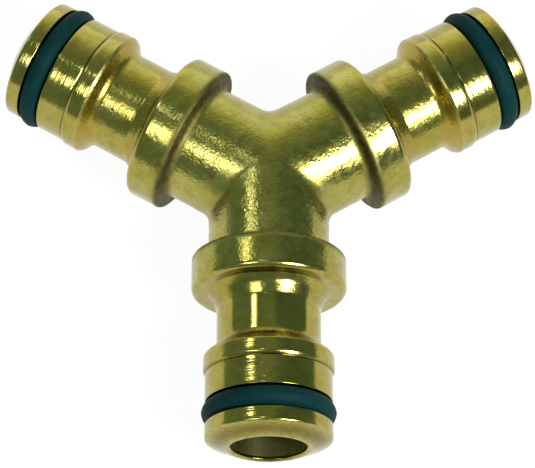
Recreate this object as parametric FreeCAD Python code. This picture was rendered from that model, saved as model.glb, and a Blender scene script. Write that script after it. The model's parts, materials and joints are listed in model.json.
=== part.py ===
"""Three-way hose connector: a hot-forged brass Y with three click-fit nozzles and their O-rings.

The part lies flat. The bore axes of its three arms meet at the origin, in the plane z = 0, with
120 degrees between them. The inlet arm points along -Y, and +Z is square to the plane of the arms.
All sizes are in millimetres. In a profile, "station" is the distance from the origin along an arm.
"""
import FreeCAD, Part
import math
import os

V = FreeCAD.Vector

# Arms: the direction of each in the plane, in degrees from +X.
ARMS = {"inlet": -90.0, "left_outlet": 150.0, "right_outlet": 30.0}
BETWEEN_ARMS = 120.0

# Hub: three equal tubes, with a rolling-ball fillet where two of them meet.
TUBE_R = 7.7
CROTCH_FILLET = 2.6

# Collar: the hose connector's sleeve stops against its outer face.
COLLAR_R = 9.8
COLLAR_START = 11.0
COLLAR_END = 15.75
COLLAR_ROOT_FILLET = 0.8
COLLAR_INNER_ROUND = 0.4
COLLAR_OUTER_ROUND = 0.8

# Neck: the claws of the hose connector drop in here. A wide fillet leads down from the collar's
# face, and a small one leads up to the shoulder's cone.
NECK_R = 6.55
NECK_START = 18.4
NECK_FILLET = 3.4
NECK_END = 22.4
CONE_FILLET = 1.3
CONE_SLOPE = math.radians(55)

# Shoulder: the claws pull against the cone that rises from the neck to this land.
SHOULDER_R = 8.2
SHOULDER_START = 24.4
SHOULDER_END = 26.1
SHOULDER_EDGE = 0.25
SHOULDER_BACK_RUN = 0.3
SHOULDER_BACK_DROP = 0.18

# Relief: a shallow turned line that parts the shoulder from the barrel.
RELIEF_R = 7.86
RELIEF_STATION = 26.5
BARREL_START = 26.62

# Barrel, O-ring groove and tip.
BARREL_R = 7.95
GROOVE_START = 30.2
GROOVE_END = 33.1
GROOVE_FLOOR_R = 5.9
TIP_LAND_END = 34.88
TIP_CORNER = 0.22
NOSE_RIM_R = 5.3
NOSE_RIM_START = 36.0
NOSE_END = 36.05

# Bore through each arm, with its edge broken at the mouth.
BORE_R = 4.7
MOUTH_CHAMFER = 0.45

# O-ring: its section is a circle that the groove's floor flattens a little.
RING_SECTION = 2.6
RING_OUTER_R = 8.38

# How finely the crotch fillets are worked out: places along a crease, and across it.
CREASE_STEPS = 48
ACROSS_STEPS = 12

# Length by which a cutting tool runs past the face that it cuts.
PAST = 1.0
# Gap that the fuse closes between the sampled fillets and the tubes.
FUSE_TOLERANCE = 1e-4


def direction(angle):
    """Unit vector in the plane of the arms at this angle."""
    turn = math.radians(angle)
    return V(math.cos(turn), math.sin(turn), 0)


def point(station, radius):
    """A profile point of an arm that lies along +X."""
    return V(station, 0, radius)


def turned_to(shape, angle):
    """A copy of a shape drawn along +X, swung round to point at this angle."""
    copy = shape.copy()
    copy.rotate(V(0, 0, 0), V(0, 0, 1), angle)
    return copy


# ---------------------------------------------------------------- profile of an arm


def short_arc(centre, start, end):
    """Arc about a centre, the short way from start to end."""
    radius = (start - centre).Length
    toward_middle = ((start + end) * 0.5 - centre).normalize()
    return Part.Arc(start, centre + toward_middle * radius, end).toShape()


def tip_corner(start, end):
    """Rounded corner between the tip's land and the nose cone, tangent to both."""
    half_turn = math.atan2(BARREL_R - NOSE_RIM_R, NOSE_RIM_START - TIP_LAND_END) / 2
    radius = TIP_CORNER / math.tan(half_turn)
    return short_arc(point(start.x, BARREL_R - radius), start, end)


def profile_edges():
    """Outline of one arm from the hub's centre to its nose, closed along the bore's axis."""
    root_centre = point(COLLAR_START - COLLAR_ROOT_FILLET, TUBE_R + COLLAR_ROOT_FILLET)
    inner_centre = point(COLLAR_START + COLLAR_INNER_ROUND, COLLAR_R - COLLAR_INNER_ROUND)
    outer_centre = point(COLLAR_END - COLLAR_OUTER_ROUND, COLLAR_R - COLLAR_OUTER_ROUND)
    neck_centre = point(NECK_START, NECK_R + NECK_FILLET)
    face_foot = neck_centre.z - math.sqrt(NECK_FILLET**2 - (NECK_START - COLLAR_END) ** 2)
    cone_centre = point(NECK_END, NECK_R + CONE_FILLET)
    cone_foot = cone_centre + point(math.sin(CONE_SLOPE), -math.cos(CONE_SLOPE)) * CONE_FILLET
    cone_rise = SHOULDER_R - SHOULDER_EDGE - cone_foot.z
    nose_run = NOSE_RIM_START - TIP_LAND_END
    nose_drop = BARREL_R - NOSE_RIM_R
    corner_share = TIP_CORNER / math.hypot(nose_run, nose_drop)

    tube = [
        point(0, 0),
        point(0, TUBE_R),
        point(root_centre.x, TUBE_R),
    ]
    hub_face = [point(COLLAR_START, root_centre.z), point(COLLAR_START, inner_centre.z)]
    land = [point(inner_centre.x, COLLAR_R), point(outer_centre.x, COLLAR_R)]
    outer_face = [point(COLLAR_END, outer_centre.z), point(COLLAR_END, face_foot)]
    neck = [point(NECK_START, NECK_R), point(NECK_END, NECK_R)]
    nozzle = [
        cone_foot,
        point(cone_foot.x + cone_rise / math.tan(CONE_SLOPE), SHOULDER_R - SHOULDER_EDGE),
        point(SHOULDER_START, SHOULDER_R),
        point(SHOULDER_END, SHOULDER_R),
        point(SHOULDER_END + SHOULDER_BACK_RUN, SHOULDER_R - SHOULDER_BACK_DROP),
        point(RELIEF_STATION, RELIEF_R),
        point(BARREL_START, BARREL_R),
        point(GROOVE_START, BARREL_R),
        point(GROOVE_START, GROOVE_FLOOR_R),
        point(GROOVE_END, GROOVE_FLOOR_R),
        point(GROOVE_END, BARREL_R),
        point(TIP_LAND_END - TIP_CORNER, BARREL_R),
    ]
    nose = [
        point(TIP_LAND_END + corner_share * nose_run, BARREL_R - corner_share * nose_drop),
        point(NOSE_RIM_START, NOSE_RIM_R),
        point(NOSE_END, BORE_R + MOUTH_CHAMFER),
        point(NOSE_END, 0),
        point(0, 0),
    ]
    edges = []
    for run in (tube, hub_face, land, outer_face, neck, nozzle, nose):
        edges += [Part.LineSegment(a, b).toShape() for a, b in zip(run, run[1:])]
    edges.append(short_arc(root_centre, tube[-1], hub_face[0]))
    edges.append(short_arc(inner_centre, hub_face[-1], land[0]))
    edges.append(short_arc(outer_centre, land[-1], outer_face[0]))
    edges.append(short_arc(neck_centre, outer_face[-1], neck[0]))
    edges.append(short_arc(cone_centre, neck[-1], nozzle[0]))
    edges.append(tip_corner(nozzle[-1], nose[0]))
    return edges


# ---------------------------------------------------------------- pieces of the brass body


def fillet_plane_angle():
    """Angle, seen from above, between an arm and the planes where its tube meets a fillet."""
    return math.atan(math.sqrt(3) * TUBE_R / (TUBE_R + CROTCH_FILLET))


def arm():
    """One undrilled arm along +X, cut to a wedge so that it meets the crotch fillets face to face."""
    outline = Part.Face(Part.Wire(Part.__sortEdges__(profile_edges())))
    turned = outline.revolve(V(0, 0, 0), V(1, 0, 0), 360)
    reach = 2 * NOSE_END
    side = reach * math.tan(fillet_plane_angle())
    low = -2 * COLLAR_R
    corners = [V(0, 0, low), V(reach, side, low), V(reach, -side, low), V(0, 0, low)]
    wedge = Part.Face(Part.makePolygon(corners)).extrude(V(0, 0, -2 * low))
    return turned.common(wedge)


def fillet_row(turn):
    """Points across the fillet that a ball leaves between the arms at +60 and -60 degrees.

    turn says how far round each tube the ball touches it, in radians from the top.
    """
    half = BETWEEN_ARMS / 2
    ball_r = TUBE_R + CROTCH_FILLET
    up = V(0, 0, math.cos(turn))
    first = direction(half - 90) * math.sin(turn) + up
    second = direction(90 - half) * math.sin(turn) + up
    station = ball_r * math.sin(turn) / math.sqrt(3)
    centre = direction(half) * station + first * ball_r
    opening = math.acos(max(-1.0, min(1.0, first.dot(second))))
    row = []
    for step in range(ACROSS_STEPS + 1):
        share = step / ACROSS_STEPS
        toward = first * (1 - share) + second * share
        if opening > 1e-9:
            weights = math.sin((1 - share) * opening), math.sin(share * opening)
            toward = first * weights[0] + second * weights[1]
        row.append(centre - toward.normalize() * CROTCH_FILLET)
    return row


def crotch():
    """The fillet between two arms as a solid slice of the hub, with its crease along +X."""
    turns = [math.pi * step / CREASE_STEPS for step in range(CREASE_STEPS + 1)]
    surface = Part.BSplineSurface()
    surface.interpolate([fillet_row(turn) for turn in turns])
    skin = surface.toShape()
    post = Part.makeLine(V(0, 0, TUBE_R), V(0, 0, -TUBE_R))
    faces = [skin]
    for edge in skin.Edges:
        if edge.Length > TUBE_R:
            faces.append(Part.Face(Part.Wire(Part.__sortEdges__([edge, post]))))
    shell = Part.makeShell(faces)
    shell.sewShape()
    solid = Part.Solid(shell)
    if solid.Volume < 0:
        solid.reverse()
    return solid


def bore():
    """What the drill and the deburring tool take out of one arm along +X."""
    drill = Part.makeCylinder(BORE_R, NOSE_END + PAST, V(0, 0, 0), V(1, 0, 0))
    depth = MOUTH_CHAMFER + PAST
    mouth = point(NOSE_END - MOUTH_CHAMFER, 0)
    return drill.fuse(Part.makeCone(BORE_R, BORE_R + depth, depth, mouth, V(1, 0, 0)))


def connector_body():
    """The brass body: three arms and three crotch fillets in one piece, drilled from each end."""
    pieces = []
    drills = []
    for angle in ARMS.values():
        pieces.append(turned_to(arm(), angle))
        pieces.append(turned_to(crotch(), angle + BETWEEN_ARMS / 2))
        drills.append(turned_to(bore(), angle))
    return pieces[0].fuse(pieces[1:], FUSE_TOLERANCE).cut(drills)


# ---------------------------------------------------------------- seals


def o_ring(angle):
    """O-ring of the arm that points at this angle, flat inside where it grips the groove's floor."""
    station = (GROOVE_START + GROOVE_END) / 2
    centre_r = RING_OUTER_R - RING_SECTION / 2
    ring = Part.makeTorus(centre_r, RING_SECTION / 2, V(station, 0, 0), V(1, 0, 0))
    start = station - RING_SECTION / 2 - PAST
    floor = Part.makeCylinder(GROOVE_FLOOR_R, RING_SECTION + 2 * PAST, V(start, 0, 0), V(1, 0, 0))
    return turned_to(ring.cut(floor), angle)


def main():
    nodes = {"connector_body": connector_body()}
    for name, angle in ARMS.items():
        nodes[name + "_o_ring"] = o_ring(angle)
    os.makedirs("parts", exist_ok=True)
    for name, shape in nodes.items():
        shape.exportStep("parts/" + name + ".step")
        state = "valid" if shape.isValid() else "NOT VALID"
        print(name, state, len(shape.Solids), "solid", round(shape.Volume, 1), "mm3")


main()
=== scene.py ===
"""Brass Y hose connector with three click-fit nozzles: materials, detailed meshes, studio and camera.

Everything is in metres in the part's own frame. The bore axes meet at the origin and +Z is up.
Inside the profile code lengths are in millimetres, as on a workshop drawing.
"""

import json
import math

import bmesh
import bpy
import numpy as np
from mathutils import Matrix, Vector, noise


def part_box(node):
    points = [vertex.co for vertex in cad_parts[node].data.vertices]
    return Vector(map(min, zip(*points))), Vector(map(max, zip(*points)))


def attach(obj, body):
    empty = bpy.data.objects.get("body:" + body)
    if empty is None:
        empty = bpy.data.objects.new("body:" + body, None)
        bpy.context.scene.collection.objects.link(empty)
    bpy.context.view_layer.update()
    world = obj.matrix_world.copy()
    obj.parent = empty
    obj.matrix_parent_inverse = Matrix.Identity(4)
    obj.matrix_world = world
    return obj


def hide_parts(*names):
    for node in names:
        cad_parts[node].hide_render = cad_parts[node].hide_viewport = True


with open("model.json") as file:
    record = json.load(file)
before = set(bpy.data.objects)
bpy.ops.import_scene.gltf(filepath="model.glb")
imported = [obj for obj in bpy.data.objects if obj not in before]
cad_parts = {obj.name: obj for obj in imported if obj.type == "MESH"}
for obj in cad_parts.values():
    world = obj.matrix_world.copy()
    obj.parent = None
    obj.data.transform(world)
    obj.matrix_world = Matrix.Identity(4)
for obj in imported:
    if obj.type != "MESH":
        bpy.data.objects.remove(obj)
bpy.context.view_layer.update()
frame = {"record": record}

MM = 0.001

# ------------------------------------------------------------------ sizes read from the frame, mm

MOUNTS = {m["name"]: m for m in frame["record"]["mounts"]}
ARMS = ("inlet", "left_outlet", "right_outlet")
BODY_LOW, BODY_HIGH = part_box("connector_body")
RING_LOW, RING_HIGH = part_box("inlet_o_ring")


def arm_axis(arm):
    """Unit vector along an arm, from the hub outwards."""
    return np.array(MOUNTS[arm + "_bore"]["axis"], float)


NOSE_END = -BODY_LOW.y / MM
COLLAR_R = BODY_HIGH.z / MM
BORE_R = MOUNTS["inlet_bore"]["dims"]["r_mm"]
SHOULDER_R = MOUNTS["inlet_nozzle"]["dims"]["r_mm"]
SHOULDER_MIDDLE = -MOUNTS["inlet_nozzle"]["pos_m"][1] / MM
SHOULDER_LENGTH = MOUNTS["inlet_nozzle"]["dims"]["length_mm"]
RING_OUTER_R = RING_HIGH.z / MM
RING_MIDDLE = -(RING_LOW.y + RING_HIGH.y) / 2 / MM
RING_SECTION = (RING_HIGH.y - RING_LOW.y) / MM

# ------------------------------------------------------------------ the rest of the profile, mm

# TUBE_END is where the tube's rows give way to the profile of the collar and the nozzle.
TUBE_R = 7.7
CROTCH_FILLET = 2.6
TUBE_END = 9.8
COLLAR_START = 11.0
TURNING_START = 14.9
COLLAR_END = 15.75
# From the collar's face a slope leads down to the neck, with one bend on the way.
FACE_FOOT_R = 7.82
FACE_BEND = (16.5, 7.13)
NECK_R = 6.55
NECK_START = 17.9
NECK_END = 22.4
CONE_FILLET = 1.3
CONE_SLOPE = math.radians(55)
SHOULDER_EDGE = 0.25
BARREL_R = 7.95
GROOVE_FLOOR_R = 5.9
GROOVE_HALF = 1.45
TIP_LAND_END = 34.88
RIM_START = 36.0
RIM_R = 5.3
MOUTH_CHAMFER = 0.25
BORE_START = NOSE_END - MOUTH_CHAMFER - 0.3

# How finely the profile is drawn: steps round an arm, mm along a straight, degrees along an arc.
ROUND = 136
STRAIGHT_STEP = 0.33
ARC_STEP = 14

# Where painted shade darkens the brass, in the hollows and on the neck's fillet and the nose; where
# hands and hoses rub the edges, which are worn and lightened, partly as wear and partly as a painted
# highlight; and where the tubes meet: the station of each, how far it reaches to both sides and how
# strong it is.
PAINTED_SHADE_PLACES = ((10.95, 0.66, 1.0), (16.9, 0.9, 0.22), (26.48, 0.12, 1.0), (31.65, 1.55, 0.2), (35.5, 0.42, 0.85))
EDGES = ((15.35, 0.18, 0.5), (24.3, 0.18, 0.8), (26.12, 0.16, 0.3), (34.9, 0.15, 0.7), (36.05, 0.12, 1.0))
CREASE = ((0.0, 1.2, 0.5),)

# How smooth the skin is, from -1 for rough to 1 for polished, by station. The hub's part runs to the
# collar's outer edge, and all the arms share it and the shoulder's cone. On turned brass the rough end
# also paints a golden reflection into the colour, strongest on the cone.
HUB_FINISH = ((10.0, -0.6), (11.2, 0.0), (15.4, 0.0))
CONE_FINISH = ((22.6, -1.0), (24.2, -1.0), (24.5, 0.0))
FINISH = {
    "inlet": (*HUB_FINISH, (15.9, -0.35), (17.8, -0.35), (18.1, 1.0), (22.3, 1.0), *CONE_FINISH),
    "left_outlet": (*HUB_FINISH, (15.8, -0.8), (17.8, -0.8), (18.1, -0.6), (22.3, -0.6), *CONE_FINISH),
}
FINISH["right_outlet"] = FINISH["left_outlet"]


def rounded(corners, step):
    """Points along a profile through corners (station, radius, rounding), with each corner an arc."""
    points = [np.array(corners[0][:2], float)]
    for before, corner, after in zip(corners, corners[1:], corners[2:]):
        at = np.array(corner[:2], float)
        back = np.array(before[:2], float) - at
        ahead = np.array(after[:2], float) - at
        back /= np.linalg.norm(back)
        ahead /= np.linalg.norm(ahead)
        half = math.acos(float(np.clip(back @ ahead, -1, 1))) / 2
        radius = corner[2]
        if radius == 0:
            add_straight(points, at, step)
            continue
        inward = (back + ahead) / np.linalg.norm(back + ahead)
        centre = at + inward * radius / math.sin(half)
        add_straight(points, at + back * radius / math.tan(half), step)
        sweep = math.pi - 2 * half
        count = max(2, math.ceil(sweep / math.radians(ARC_STEP)))
        start = points[-1] - centre
        end = at + ahead * radius / math.tan(half) - centre
        for k in range(1, count + 1):
            share = k / count
            turn = start * math.sin((1 - share) * sweep) + end * math.sin(share * sweep)
            points.append(centre + turn / math.sin(sweep))
    add_straight(points, np.array(corners[-1][:2], float), step)
    return np.array(points)


def add_straight(points, end, step):
    """Continue a profile to end in equal steps."""
    start = points[-1]
    gap = np.linalg.norm(end - start)
    if gap < 1e-6:
        return
    count = math.ceil(gap / step)
    for k in range(1, count + 1):
        points.append(start + (end - start) * k / count)


def forged_profile():
    """From the hub's tube over the collar, as the dies left it."""
    return rounded(
        [
            (TUBE_END, TUBE_R, 0),
            (COLLAR_START, TUBE_R, 0.8),
            (COLLAR_START, COLLAR_R, 0.45),
            (TURNING_START, COLLAR_R, 0),
        ],
        STRAIGHT_STEP,
    )


def turned_profile():
    """From the middle of the collar to the mouth, as the lathe left it."""
    cone_corner = NECK_END + CONE_FILLET * math.tan(CONE_SLOPE / 2)
    shoulder_start = SHOULDER_MIDDLE - SHOULDER_LENGTH / 2
    shoulder_end = SHOULDER_MIDDLE + SHOULDER_LENGTH / 2
    cone_top = SHOULDER_R - SHOULDER_EDGE
    cone_end = cone_corner + (cone_top - NECK_R) / math.tan(CONE_SLOPE)
    groove_start = RING_MIDDLE - GROOVE_HALF
    groove_end = RING_MIDDLE + GROOVE_HALF
    return rounded(
        [
            (TURNING_START, COLLAR_R, 0),
            (COLLAR_END, COLLAR_R, 0.8),
            (COLLAR_END, FACE_FOOT_R, 0.1),
            (*FACE_BEND, 1.5),
            (NECK_START, NECK_R, 0.5),
            (cone_corner, NECK_R, CONE_FILLET),
            (cone_end, cone_top, 0.2),
            (shoulder_start, SHOULDER_R, 0.25),
            (shoulder_end, SHOULDER_R, 0.35),
            (shoulder_end + 0.3, SHOULDER_R - 0.18, 0.1),
            (shoulder_end + 0.4, BARREL_R - 0.09, 0.03),
            (shoulder_end + 0.52, BARREL_R, 0.05),
            (groove_start, BARREL_R, 0.1),
            (groove_start, GROOVE_FLOOR_R, 0.2),
            (groove_end, GROOVE_FLOOR_R, 0.2),
            (groove_end, BARREL_R, 0.1),
            (TIP_LAND_END, BARREL_R, 0.32),
            (RIM_START, RIM_R, 0.08),
            (NOSE_END, RIM_R - 0.1, 0.03),
            (NOSE_END, BORE_R + MOUTH_CHAMFER, 0.06),
            (NOSE_END - MOUTH_CHAMFER, BORE_R, 0.1),
            (BORE_START, BORE_R, 0),
        ],
        STRAIGHT_STEP,
    )


def profile_normals(profile):
    """Unit normals of a profile, pointing out of the metal."""
    run = np.gradient(profile, axis=0)
    out = np.stack([-run[:, 1], run[:, 0]], axis=1)
    return out / np.linalg.norm(out, axis=1)[:, None]


# ------------------------------------------------------------------ the brass body's mesh

# Rows across the fillet between two tubes, along a tube and along a bore.
CREASE_STEPS = 6
TUBE_STEPS = 24
BORE_STEPS = 6

# Places of the three finishes among the body's materials.
FORGED, TURNED, BORED = 0, 1, 2

# Forging waves as (depth, size, place in the noise), in mm. They fade out before a station.
WAVES = ((0.050, 2.7, 3.0), (0.022, 1.1, 11.0))
WAVES_END = COLLAR_END - 0.4
WAVES_FADE = 1.6

# Feed marks: mean depth in mm and how fast they change. Wear: full depth, and size and place of
# its lumps.
FEED_DEPTH = 0.004
FEED_PER_MM = 2.3
WEAR_DEPTH = 0.03
WEAR_LUMPS = (1.6, 23.0)

# UV units per mm, and how far apart the UVs of two arms start, in mm round the arm.
UV_PER_MM = 0.01
UV_GAP = 100

# Points closer than this, in metres, are one point.
SAME_POINT = 2e-8


def lumps(points, size, shift):
    """Smooth noise from 0 to 1 at points in mm, with bumps of about this size."""
    flat = points.reshape(-1, 3) / size + shift
    values = np.array([noise.noise(p) for p in flat.tolist()])
    return np.clip(0.5 + 0.7 * values, 0, 1).reshape(points.shape[:-1])


def near(stations, places):
    """The strength of each of the places (station, reach, strength), falling to 0 beyond its reach."""
    return sum(strength * np.exp(-(((stations - at) / reach) ** 2)) for at, reach, strength in places)


def arm_rows(arm):
    """Rows of points round an arm from the crease to the hub end of its bore, in mm.

    Returns (points, outward normals, station of each point, first turned and first bored row).
    """
    axis = arm_axis(arm)
    side = np.cross([0, 0, 1.0], axis)
    up = np.array([0, 0, 1.0])
    turn = np.linspace(0, 2 * math.pi, ROUND + 1)
    sine, cosine = np.sin(turn), np.cos(turn)
    sine[0] = sine[ROUND // 2] = sine[ROUND] = 0
    normal = cosine[:, None] * up + sine[:, None] * side
    ball = TUBE_R + CROTCH_FILLET
    touch = ball * np.abs(sine) / math.sqrt(3)
    centre = touch[:, None] * axis + ball * normal
    between_arms = axis * 0.5 + np.sign(sine)[:, None] * side * math.sqrt(3) / 2
    middle = cosine[:, None] * up + (np.abs(sine) * math.sqrt(3) / 2)[:, None] * between_arms
    middle /= np.linalg.norm(middle, axis=1)[:, None]
    opening = np.arccos(np.clip((normal * middle).sum(1), -1, 1))
    safe = np.maximum(opening, 1e-9)

    rows, outs, stations = [], [], []
    for k in range(CREASE_STEPS):
        share = 1 - k / CREASE_STEPS
        toward = np.sin((1 - share) * opening)[:, None] * normal
        toward = (toward + np.sin(share * opening)[:, None] * middle) / np.sin(safe)[:, None]
        toward = np.where((opening < 1e-6)[:, None], normal, toward)
        rows.append(centre - CROTCH_FILLET * toward)
        outs.append(toward)
        stations.append(touch)
    for k in range(TUBE_STEPS):
        along = touch + (TUBE_END - touch) * k / TUBE_STEPS
        rows.append(along[:, None] * axis + TUBE_R * normal)
        outs.append(normal)
        stations.append(along)
    forged = forged_profile()
    turned = turned_profile()
    profile = np.concatenate([forged[:-1], turned])
    for (station, radius), (along, away) in zip(profile[:-1], profile_normals(profile)):
        rows.append(station * axis + radius * normal)
        outs.append(along * axis + away * normal)
        stations.append(np.full(len(turn), station))
    first_turned = CREASE_STEPS + TUBE_STEPS + len(forged) - 1
    first_bored = len(rows)
    bore_touch = BORE_R * np.abs(sine) / math.sqrt(3)
    for k in range(BORE_STEPS + 1):
        along = BORE_START + (bore_touch - BORE_START) * k / BORE_STEPS
        rows.append(along[:, None] * axis + BORE_R * normal)
        outs.append(-normal)
        stations.append(along)
    return np.array(rows), np.array(outs), np.array(stations), (first_turned, first_bored)


def skin_depth(rows, stations, first_turned, first_bored, arm_index):
    """How far the skin lies under the profile, in mm: forging waves, feed marks and worn edges."""
    depth = np.zeros(stations.shape)
    outside = rows[:first_bored]
    fade = np.clip((WAVES_END - stations[:first_bored]) / WAVES_FADE, 0, 1)
    depth[:first_bored] = fade * sum(deep * lumps(outside, size, shift) for deep, size, shift in WAVES)
    turned = stations[first_turned:first_bored, 0]
    marks = [noise.noise((s * FEED_PER_MM, 7.0 * arm_index, 0.0)) for s in turned]
    depth[first_turned:first_bored] += FEED_DEPTH * (1 + np.array(marks))[:, None]
    worn = near(stations[:first_bored], EDGES)
    depth[:first_bored] += WEAR_DEPTH * worn * lumps(outside, *WEAR_LUMPS) ** 2
    return depth


def brass_body():
    """The whole connector body as one closed mesh, with round-the-arm and along-the-arm UVs."""
    points, uvs, faces, finishes, masks = [], [], [], [], []
    for index, arm in enumerate(ARMS):
        rows, outs, stations, (first_turned, first_bored) = arm_rows(arm)
        rows = rows - skin_depth(rows, stations, first_turned, first_bored, index)[..., None] * outs
        base = len(points)
        count = ROUND + 1
        around = np.linspace(0, 2 * math.pi * BARREL_R, count) + UV_GAP * index
        finish_at, finish_is = zip(*FINISH[arm])
        crease_at = stations[0]
        for row, station in zip(rows, stations):
            points += list(row * MM)
            uvs += list(zip(around * UV_PER_MM, station * UV_PER_MM))
            finish = np.interp(station, finish_at, finish_is)
            polish = finish - near(station - crease_at, CREASE) * crease_at / crease_at.max()
            # Masks: painted shade in the hollows, wear and a painted highlight on the edges, and the finish.
            masks += list(zip(near(station, PAINTED_SHADE_PLACES), near(station, EDGES), polish))
        for j in range(len(rows) - 1):
            material = FORGED if j < first_turned else TURNED if j < first_bored else BORED
            for k in range(ROUND):
                a = base + j * count + k
                faces.append((a, a + 1, a + count + 1, a + count))
                finishes.append(material)
    mesh = bpy.data.meshes.new("brass_body")
    mesh.from_pydata([tuple(p) for p in points], [], faces)
    mesh.polygons.foreach_set("material_index", finishes)
    layer = mesh.uv_layers.new(name="lathe")
    corner = np.zeros(len(mesh.loops), np.int32)
    mesh.loops.foreach_get("vertex_index", corner)
    layer.data.foreach_set("uv", np.array(uvs, np.float32)[corner].ravel())
    for name, values in zip(("grime", "wear", "polish"), np.array(masks, np.float32).T):
        mesh.attributes.new(name, "FLOAT", "POINT").data.foreach_set("value", values)
    weld(mesh, SAME_POINT)
    return mesh


def weld(mesh, distance):
    """Join points closer than distance, drop collapsed faces and turn every face outwards."""
    work = bmesh.new()
    work.from_mesh(mesh)
    bmesh.ops.remove_doubles(work, verts=work.verts, dist=distance)
    if work.calc_volume(signed=True) < 0:
        bmesh.ops.reverse_faces(work, faces=work.faces)
    work.to_mesh(mesh)
    work.free()


SHARP_ANGLE = math.radians(50)


def new_piece(name, mesh, slot, *nodes):
    """A shown piece that rides on the body and stands for CAD nodes."""
    piece = bpy.data.objects.new(name, mesh)
    bpy.context.scene.collection.objects.link(piece)
    mesh.shade_smooth()
    mesh.set_sharp_from_angle(angle=SHARP_ANGLE)
    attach(piece, "root")
    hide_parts(*nodes)
    return piece


# ------------------------------------------------------------------ materials


# The two colour inputs and the colour output of a Mix node that mixes colours.
MIX_COLOURS, MIX_RESULT = (6, 7), 2


class Nodes:
    """Short calls for building the node tree of one material, or of the world."""

    def __init__(self, owner, shader):
        self.owner = owner
        self.owner.use_nodes = True
        self.tree = self.owner.node_tree
        self.shader = self.tree.nodes[shader]
        self.place = self.add("ShaderNodeTexCoord")

    def add(self, kind, **settings):
        """A new node, with each setting given to its input or its property of that name."""
        node = self.tree.nodes.new(kind)
        for key, value in settings.items():
            if key in node.inputs:
                node.inputs[key].default_value = value
            else:
                setattr(node, key, value)
        return node

    def link(self, source, target):
        """Feed an input from a socket, a number or a colour."""
        if isinstance(source, (int, float)):
            target.default_value = source
        elif isinstance(source, tuple):
            target.default_value = (*source, 1)
        else:
            self.tree.links.new(source, target)

    def noise(self, size, detail=3.0, roughness=0.55, where="Object", stretch=None):
        """Noise with features of about this size in metres, or in stretched UV units."""
        node = self.add("ShaderNodeTexNoise", Scale=1 / size, Detail=detail, Roughness=roughness)
        source = self.place.outputs[where]
        if stretch:
            mapping = self.add("ShaderNodeMapping")
            mapping.inputs["Scale"].default_value = stretch
            self.link(source, mapping.inputs["Vector"])
            source = mapping.outputs["Vector"]
        self.link(source, node.inputs["Vector"])
        return node.outputs["Fac"]

    def mask(self, name):
        """A value that the mesh holds at each of its points."""
        return self.add("ShaderNodeAttribute", attribute_name=name).outputs["Fac"]

    def math(self, operation, *values):
        """The result of one sum on numbers or sockets."""
        node = self.add("ShaderNodeMath", operation=operation)
        for value, target in zip(values, node.inputs):
            self.link(value, target)
        return node.outputs["Value"]

    def spread(self, value, low, high, to_low, to_high):
        """A value mapped from one range to another, held at its ends."""
        node = self.add("ShaderNodeMapRange")
        for number, name in zip((low, high, to_low, to_high), ("From Min", "From Max", "To Min", "To Max")):
            self.link(number, node.inputs[name])
        self.link(value, node.inputs["Value"])
        return node.outputs["Result"]

    def tint(self, share, first, second, blend_type="MIX"):
        """Colour from first to second as share goes from 0 to 1. Each is a colour or a socket."""
        node = self.add("ShaderNodeMix", data_type="RGBA", blend_type=blend_type)
        self.link(share, node.inputs["Factor"])
        for colour, at in zip((first, second), MIX_COLOURS):
            self.link(colour, node.inputs[at])
        return node.outputs[MIX_RESULT]

    def ramp(self, source, stops):
        """Colour along a row of stops (position, colour), picked by a value from 0 to 1."""
        node = self.add("ShaderNodeValToRGB")
        while len(node.color_ramp.elements) < len(stops):
            node.color_ramp.elements.new(1.0)
        for element, (position, colour) in zip(node.color_ramp.elements, stops):
            element.position = position
            element.color = (*colour, 1)
        self.link(source, node.inputs["Fac"])
        return node.outputs["Color"]

    def bumps(self, *layers):
        """Bump the shader's normal with layers (height socket, metres)."""
        normal = None
        for height, depth in layers:
            bump = self.add("ShaderNodeBump", Strength=1.0)
            self.link(depth, bump.inputs["Distance"])
            self.link(height, bump.inputs["Height"])
            if normal:
                self.link(normal, bump.inputs["Normal"])
            normal = bump.outputs["Normal"]
        self.link(normal, self.shader.inputs["Normal"])


def new_material(name):
    """Nodes for a new material of this name."""
    return Nodes(bpy.data.materials.new(name), "Principled BSDF")


def new_metal(name):
    """Nodes for a new bare metal of this name."""
    n = new_material(name)
    n.shader.inputs["Metallic"].default_value = 1.0
    return n


def brass_colour(n):
    """Dull yellow brass with olive and brown patches, painted shade in the hollows, on the neck's fillet and
    on the nose, and edges lightened partly by wear and partly by a painted highlight.
    """
    broad = n.spread(n.noise(0.0045, 4.0, 0.6), 0.35, 0.65, 0.0, 1.0)
    colour = n.tint(broad, (0.336, 0.312, 0.053), (0.412, 0.372, 0.100))
    patch = n.spread(n.noise(0.0016, 4.0, 0.65), 0.48, 0.66, 0.0, 0.75)
    colour = n.tint(patch, colour, (0.290, 0.215, 0.038))
    green = n.spread(n.noise(0.0011, 3.0, 0.6), 0.50, 0.66, 0.0, 0.6)
    colour = n.tint(green, colour, (0.270, 0.285, 0.060))
    # Painted shade: darker colour in the hollows, on the neck's fillet and on the nose.
    painted_shade_share = n.math("MULTIPLY", n.mask("grime"), n.spread(n.noise(0.0009, 3.0), 0.3, 0.6, 0.70, 1.0))
    colour = n.tint(painted_shade_share, colour, (0.085, 0.075, 0.022))
    # Edges lighter, partly from wear and partly as a painted highlight.
    rub_and_highlight = n.math("MULTIPLY", n.mask("wear"), n.spread(n.noise(0.0006, 2.0), 0.4, 0.6, 0.1, 0.8))
    return n.tint(rub_and_highlight, colour, (0.520, 0.470, 0.200))


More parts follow.
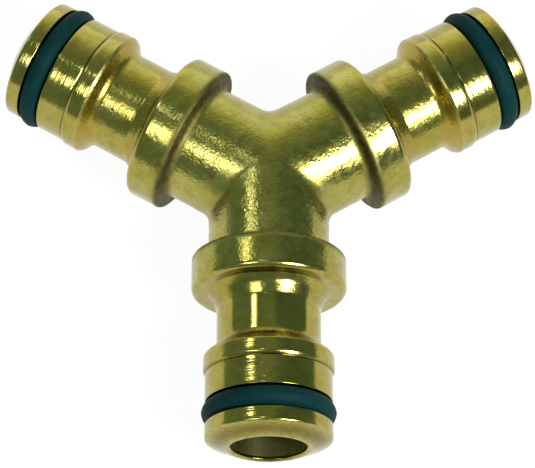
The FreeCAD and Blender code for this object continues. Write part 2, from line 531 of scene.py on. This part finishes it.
def forged_brass():
    """Skin of a hot forging: soft lumps, fine grit, and dull roughness."""
    n = new_metal("forged_brass")
    n.link(brass_colour(n), n.shader.inputs["Base Color"])
    polish = n.mask("polish")
    dull = n.spread(n.noise(0.0010, 3.0), 0.3, 0.7, 0.13, 0.26)
    dull = n.math("ADD", dull, n.spread(polish, -0.6, 0.0, 0.03, 0.0))
    dull = n.math("ADD", dull, n.spread(polish, -1.3, -0.6, 0.20, 0.0))
    # Rougher where the painted shade darkens the colour.
    dull = n.math("ADD", dull, n.spread(n.mask("grime"), 0.1, 0.7, 0.0, 0.42))
    n.link(dull, n.shader.inputs["Roughness"])
    grit = n.add("ShaderNodeTexVoronoi", Scale=2200.0)
    n.link(n.place.outputs["Object"], grit.inputs["Vector"])
    grain = n.math("MULTIPLY", n.spread(polish, -0.6, 0.0, 1.6, 1.0), n.spread(polish, -1.0, -0.6, 0.2, 1.0))
    n.bumps(
        (n.noise(0.0013, 3.0), 0.000024),
        (grit.outputs["Distance"], n.math("MULTIPLY", grain, 0.000012)),
        (n.noise(0.00035, 2.0), n.math("MULTIPLY", grain, 0.000020)),
    )
    return n.owner


def turned_brass():
    """Turned skin: feed marks round the arm, a polished inlet neck and chattered outlet necks, with a golden
    painted reflection in the colour of the rough parts.
    """
    n = new_metal("turned_brass")
    polish = n.mask("polish")
    # A golden tint over all turned brass. It is strongest on the shoulder's cone and the outlets' neck
    # fillets, where it is a painted reflection.
    golden_painted_reflection = n.spread(polish, -1.0, -0.6, 0.75, 0.2)
    n.link(n.tint(golden_painted_reflection, brass_colour(n), (0.385, 0.275, 0.040)), n.shader.inputs["Base Color"])
    rough = n.spread(polish, -1.0, 0.0, 0.24, 0.12)
    smooth = n.spread(polish, 0.0, 1.0, 0.0, -0.06)
    patch = n.spread(n.noise(0.0012, 3.0), 0.3, 0.7, -0.02, 0.06)
    level = n.math("ADD", rough, smooth)
    # Rougher on the edges that the colour lightens with wear and a painted highlight.
    level = n.math("ADD", level, n.spread(n.mask("wear"), 0.2, 1.0, 0.0, 0.20))
    n.link(n.math("ADD", level, patch), n.shader.inputs["Roughness"])
    chatter = n.spread(polish, -0.6, 0.3, 0.000040, 0.000002)
    n.bumps(
        (n.noise(1.0, 3.0, 0.7, "UV", (3.0, 700.0, 1.0)), n.spread(polish, -0.6, 0.0, 0.000010, 0.000006)),
        (n.noise(1.0, 2.0, 0.6, "UV", (14.0, 190.0, 1.0)), n.spread(polish, 0.0, 1.0, 0.000032, 0.000006)),
        (n.noise(0.0005, 2.0), chatter),
    )
    return n.owner


def drilled_brass():
    """Inside of a drilled bore: lengthwise streaks from the reamer, faint rings and a dull film."""
    n = new_metal("drilled_brass")
    film = n.spread(n.noise(1.0, 3.0, 0.6, "UV", (60.0, 2.0, 1.0)), 0.35, 0.65, 0.0, 1.0)
    n.link(n.tint(film, (0.440, 0.430, 0.140), (0.190, 0.205, 0.055)), n.shader.inputs["Base Color"])
    n.link(n.spread(film, 0.0, 1.0, 0.30, 0.42), n.shader.inputs["Roughness"])
    n.bumps(
        (n.noise(1.0, 3.0, 0.6, "UV", (110.0, 3.0, 1.0)), 0.000030),
        (n.noise(1.0, 3.0, 0.6, "UV", (3.0, 300.0, 1.0)), 0.000004),
    )
    return n.owner


def rubber():
    """Dark green nitrile with a faint bloom and a fine grain."""
    n = new_material("nitrile_rubber")
    cloud = n.noise(0.0025, 4.0)
    share = n.spread(cloud, 0.35, 0.7, 0.0, 1.0)
    n.link(n.tint(share, (0.0010, 0.0210, 0.0180), (0.0025, 0.0290, 0.0260)), n.shader.inputs["Base Color"])
    n.link(n.spread(cloud, 0.3, 0.7, 0.50, 0.65), n.shader.inputs["Roughness"])
    n.shader.inputs["Specular IOR Level"].default_value = 0.06
    n.bumps((n.noise(0.00022, 2.0), 0.000006))
    return n.owner


# ------------------------------------------------------------------ O-rings

# Steps round a ring and round its section, the moulding line's height in mm and its width as a
# sine, and how far each ring lies from the middle of its groove, in mm along its arm.
RING_ROUND = 200
RING_ACROSS = 40
FLASH_HEIGHT = 0.03
FLASH_WIDTH = 0.06
SLACK = {"inlet": -0.13, "left_outlet": 0.11, "right_outlet": 0.13}


def o_ring(arm):
    """O-ring pushed to one side of its groove, with its flat on the floor and a faint moulding line."""
    axis = arm_axis(arm)
    side = np.cross([0, 0, 1.0], axis)
    centre_r = RING_OUTER_R - RING_SECTION / 2
    points, faces = [], []
    for j in range(RING_ROUND):
        turn = 2 * math.pi * j / RING_ROUND
        outward = math.cos(turn) * np.array([0, 0, 1.0]) + math.sin(turn) * side
        for k in range(RING_ACROSS):
            angle = 2 * math.pi * k / RING_ACROSS
            ridge = math.exp(-((math.sin(angle) / FLASH_WIDTH) ** 2))
            section = RING_SECTION / 2 - FLASH_HEIGHT * (1 - ridge)
            reach = max(centre_r + section * math.cos(angle), GROOVE_FLOOR_R)
            place = RING_MIDDLE + SLACK[arm] + section * math.sin(angle)
            points.append(tuple((place * axis + reach * outward) * MM))
    for j in range(RING_ROUND):
        for k in range(RING_ACROSS):
            after, beside = (j + 1) % RING_ROUND, (k + 1) % RING_ACROSS
            faces.append(
                (
                    j * RING_ACROSS + k,
                    j * RING_ACROSS + beside,
                    after * RING_ACROSS + beside,
                    after * RING_ACROSS + k,
                )
            )
    mesh = bpy.data.meshes.new(arm + "_seal")
    mesh.from_pydata(points, [], faces)
    weld(mesh, SAME_POINT)
    return mesh


# ------------------------------------------------------------------ build the object

body = new_piece("brass_body", brass_body(), "brass", "connector_body")
for material in (forged_brass(), turned_brass(), drilled_brass()):
    body.data.materials.append(material)
nitrile = rubber()
for arm in ARMS:
    seal = new_piece(arm + "_seal", o_ring(arm), "rubber", arm + "_o_ring")
    seal.data.materials.append(nitrile)

# ------------------------------------------------------------------ studio

FLOOR_SIDE = 3.0
FLOOR_GLOW = 0.93
LIGHT_DISTANCE = 0.55
LIGHT_COLOUR = (1.0, 0.99, 1.22)


def studio_floor():
    """Pale back-lit table that the collars rest on."""
    half = FLOOR_SIDE / 2
    level = BODY_LOW.z
    mesh = bpy.data.meshes.new("floor")
    corners = [(-half, -half, level), (half, -half, level), (half, half, level), (-half, half, level)]
    mesh.from_pydata(corners, [], [(0, 1, 2, 3)])
    floor = bpy.data.objects.new("floor", mesh)
    bpy.context.scene.collection.objects.link(floor)
    n = new_material("floor_white")
    n.shader.inputs["Base Color"].default_value = (0.10, 0.10, 0.10, 1)
    n.shader.inputs["Roughness"].default_value = 1.0
    n.shader.inputs["Specular IOR Level"].default_value = 0.0
    n.shader.inputs["Emission Color"].default_value = (1, 1, 1, 1)
    n.shader.inputs["Emission Strength"].default_value = FLOOR_GLOW
    mesh.materials.append(n.owner)


def soft_light(name, direction, across, upward, radiance):
    """Soft box that faces the part from a direction, with its angular size in degrees.

    Radiance is the brightness of its face. Upward is its size towards the zenith.
    """
    data = bpy.data.lights.new(name, "AREA")
    data.shape = "ELLIPSE"
    data.size = 2 * LIGHT_DISTANCE * math.tan(math.radians(across) / 2)
    data.size_y = 2 * LIGHT_DISTANCE * math.tan(math.radians(upward) / 2)
    data.energy = radiance * math.pi * data.size * data.size_y * math.pi / 4
    data.color = LIGHT_COLOUR
    lamp = bpy.data.objects.new(name, data)
    way = Vector(direction).normalized()
    lamp.location = way * LIGHT_DISTANCE
    lamp.rotation_mode = "QUATERNION"
    lamp.rotation_quaternion = (-way).to_track_quat("-Z", "Y")
    bpy.context.scene.collection.objects.link(lamp)


# The room's colours by height, from the floor's level at 0 to straight up at 1: all round, and on
# the bright wall behind the part.
ROOM = (
    (0.0, (0.95, 0.98, 0.98)),
    (0.045, (0.24, 0.33, 0.32)),
    (0.6, (0.20, 0.28, 0.27)),
    (1.0, (0.22, 0.30, 0.29)),
)
WALL = (
    (0.0, (1.55, 1.57, 1.75)),
    (0.21, (1.40, 1.42, 1.45)),
    (0.41, (1.13, 1.16, 0.98)),
    (0.57, (0.84, 0.86, 0.62)),
    (0.73, (0.48, 0.53, 0.38)),
    (0.84, (0.30, 0.36, 0.30)),
    (1.0, (0.21, 0.29, 0.28)),
)
# How much the room dims from the middle to the right, and where the wall begins and is whole.
SHADE = ((0.0, (1.0, 1.0, 1.0)), (0.75, (0.66, 0.70, 0.72)))
WALL_SPAN = ((0.80, (0.0, 0.0, 0.0)), (0.95, (1.0, 1.0, 1.0)))


def surroundings():
    """A dim room with a bright wall behind the part, dimmer still to the right."""
    world = bpy.data.worlds.new("studio_room")
    bpy.context.scene.world = world
    n = Nodes(world, "Background")
    split = n.add("ShaderNodeSeparateXYZ")
    n.link(n.place.outputs["Generated"], split.inputs["Vector"])
    flat = n.add("ShaderNodeCombineXYZ")
    n.link(split.outputs["X"], flat.inputs["X"])
    n.link(split.outputs["Y"], flat.inputs["Y"])
    heading = n.add("ShaderNodeVectorMath", operation="NORMALIZE")
    n.link(flat.outputs["Vector"], heading.inputs[0])
    bearing = n.add("ShaderNodeSeparateXYZ")
    n.link(heading.outputs["Vector"], bearing.inputs["Vector"])

    room = n.ramp(split.outputs["Z"], ROOM)
    room = n.tint(1.0, room, n.ramp(bearing.outputs["X"], SHADE), "MULTIPLY")
    wall = n.ramp(split.outputs["Z"], WALL)
    light = n.tint(n.ramp(bearing.outputs["Y"], WALL_SPAN), room, wall)
    path = n.add("ShaderNodeLightPath")
    n.link(n.tint(path.outputs["Is Camera Ray"], light, (1.0, 1.0, 1.0)), n.shader.inputs["Color"])


# Soft boxes: name, direction from the part, degrees across, degrees upward, and radiance.
LIGHTS = (
    ("key_right", (0.52, -0.50, 0.69), 21, 24, 31.0),
    ("fill_left", (-0.43, -0.39, 0.81), 18, 18, 7.3),
    ("back_left", (-0.52, 0.37, 0.77), 7, 11, 9.0),
    ("overhead_left", (-0.183, 0.075, 0.980), 3.5, 6, 9.0),
)

studio_floor()
surroundings()
for light in LIGHTS:
    soft_light(*light)

# ------------------------------------------------------------------ camera

TILT = math.radians(23.18)
YAW = math.radians(0.71)
ROLL = math.radians(-0.32)
CAMERA_DISTANCE = 0.3092
AIM = Vector((-0.000177, -0.006806, CAMERA_DISTANCE))
LENS_MM = 162.2

to_camera = (
    Matrix.Rotation(ROLL, 3, "Z") @ Matrix.Rotation(YAW, 3, "Y") @ Matrix.Rotation(-TILT, 3, "X")
)
camera_data = bpy.data.cameras.new("camera")
camera_data.lens = LENS_MM
camera_data.sensor_width = 36.0
camera_data.clip_start = 0.01
camera_data.clip_end = 10.0
camera = bpy.data.objects.new("camera", camera_data)
bpy.context.scene.collection.objects.link(camera)
camera.matrix_world = Matrix.Translation(to_camera.transposed() @ AIM) @ to_camera.transposed().to_4x4()
bpy.context.scene.camera = camera
bpy.context.scene.view_settings.view_transform = "Standard"
